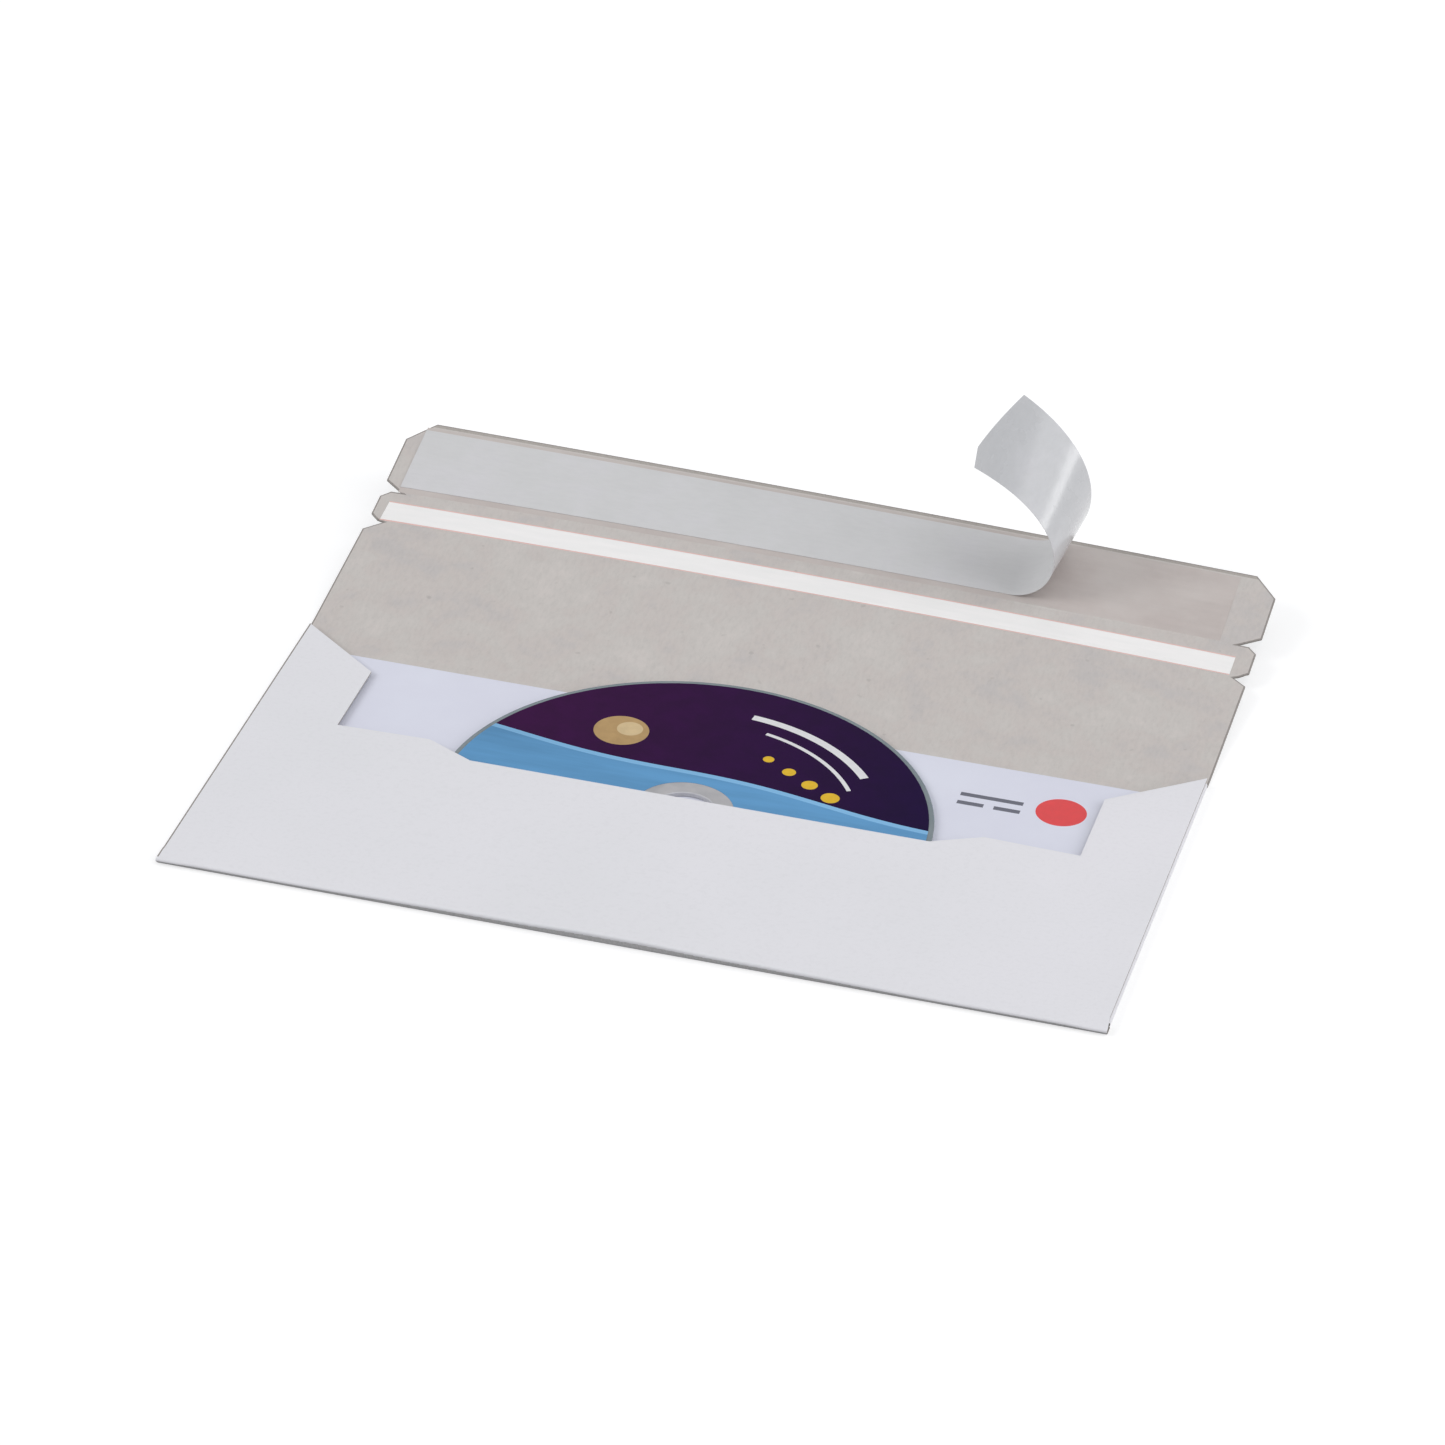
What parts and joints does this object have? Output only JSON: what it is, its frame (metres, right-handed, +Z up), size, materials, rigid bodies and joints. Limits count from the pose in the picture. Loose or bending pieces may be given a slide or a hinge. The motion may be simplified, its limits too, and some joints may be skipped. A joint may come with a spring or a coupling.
{
  "type": "disc mailer envelope",
  "caption": "Open board mailing envelope with a die-cut pocket, a letter and a disc in it, a tear tape, and a glued flap whose release liner is half peeled.",
  "frame": {"origin": "middle of the footprint of the whole mailer, on the table", "axes": "+X across the mailer, +Y from the bottom fold towards the closure flap, +Z up"},
  "size_m": [0.229, 0.2036, 0.051],
  "materials": {
    "board": "white lined grey board, matt",
    "paper": "bluish white writing paper",
    "disc": "clear plastic disc with a printed face",
    "adhesive": "clear glue film on grey board",
    "liner": "silicone-coated paper, satin",
    "tape": "white tear tape with thin red edges",
    "glue": "dried glue"
  },
  "bodies": {
    "root": {"folded_sheet": "board", "letter": "paper", "disc": "disc", "adhesive_strip": "adhesive", "release_liner": "liner", "tear_tape": "tape", "glue_seam_left": "glue", "glue_seam_right": "glue"}
  },
  "joints": []
}
